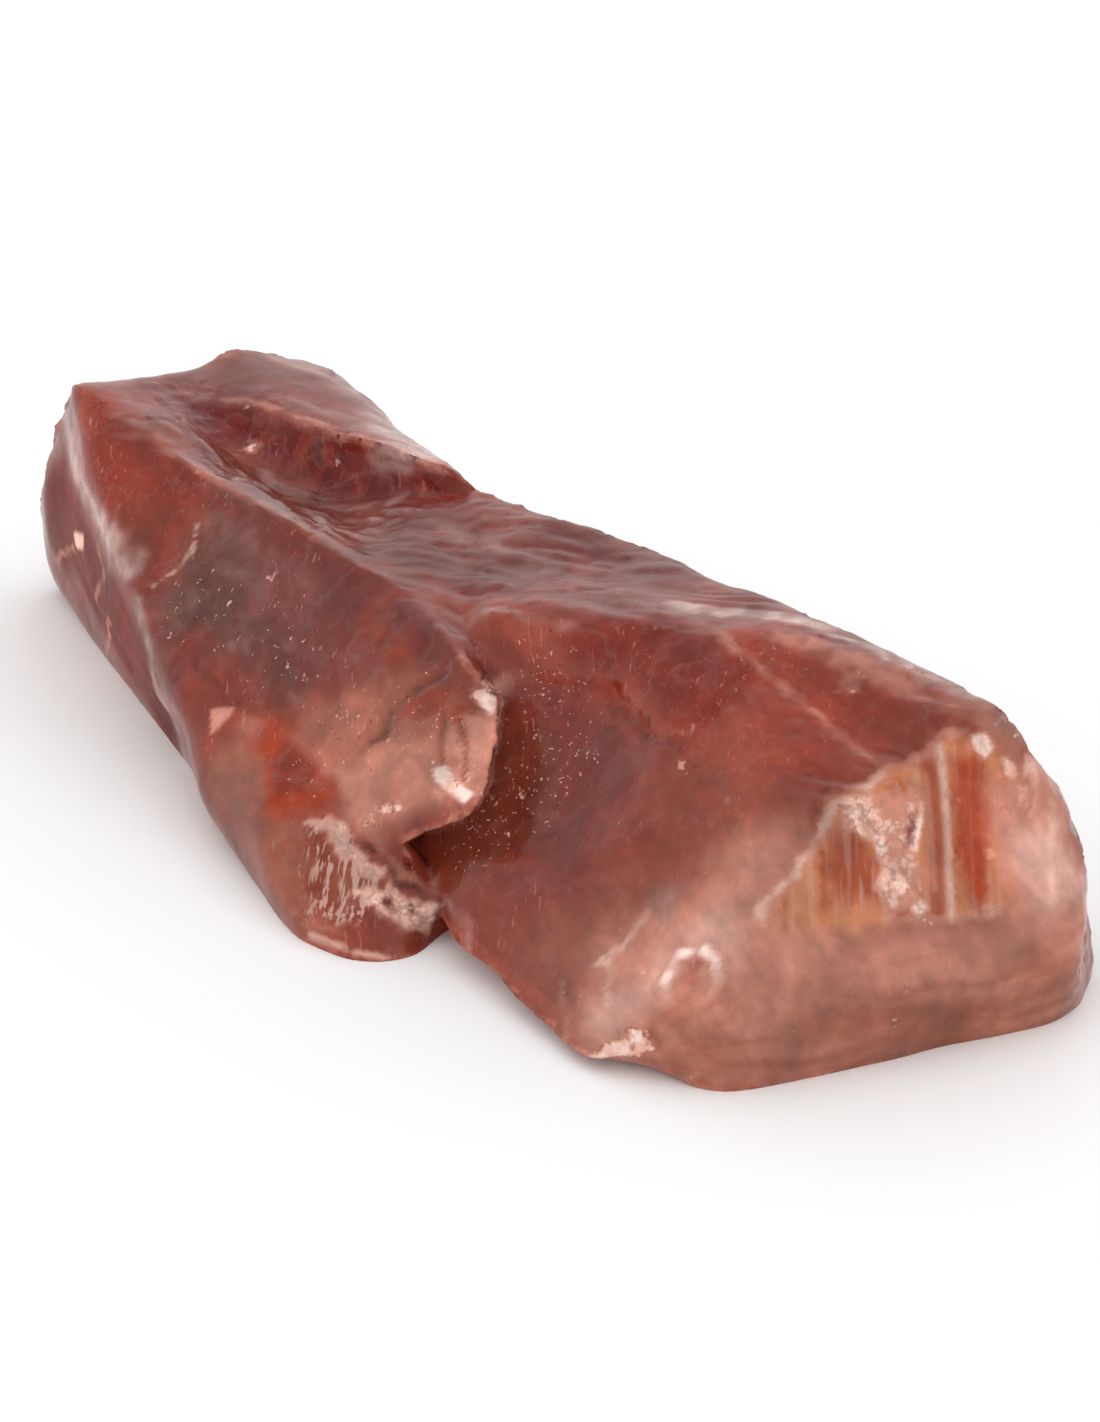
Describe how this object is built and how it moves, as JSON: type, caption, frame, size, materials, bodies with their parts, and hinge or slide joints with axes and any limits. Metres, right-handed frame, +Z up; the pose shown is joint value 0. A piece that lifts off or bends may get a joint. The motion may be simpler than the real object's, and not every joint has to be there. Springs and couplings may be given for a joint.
{
  "type": "raw calcite",
  "caption": "Elongated broken lump of reddish raw calcite, see-through, with a steep end face, a proud front plate, a hollow behind it and a fluted lobe low on the front.",
  "frame": {"origin": "on the flat face that the stone lies on, at the centre of the bounding box's base", "axes": "+X along the stone towards its steep end face, +Z up, -Y towards the side with the fluted lobe"},
  "size_m": [0.0922, 0.037, 0.0206],
  "materials": {
    "calcite": "clear to cloudy brownish-red calcite, glossy on broken faces, frosted in patches"
  },
  "bodies": {
    "root": {"calcite": "calcite"}
  },
  "joints": []
}
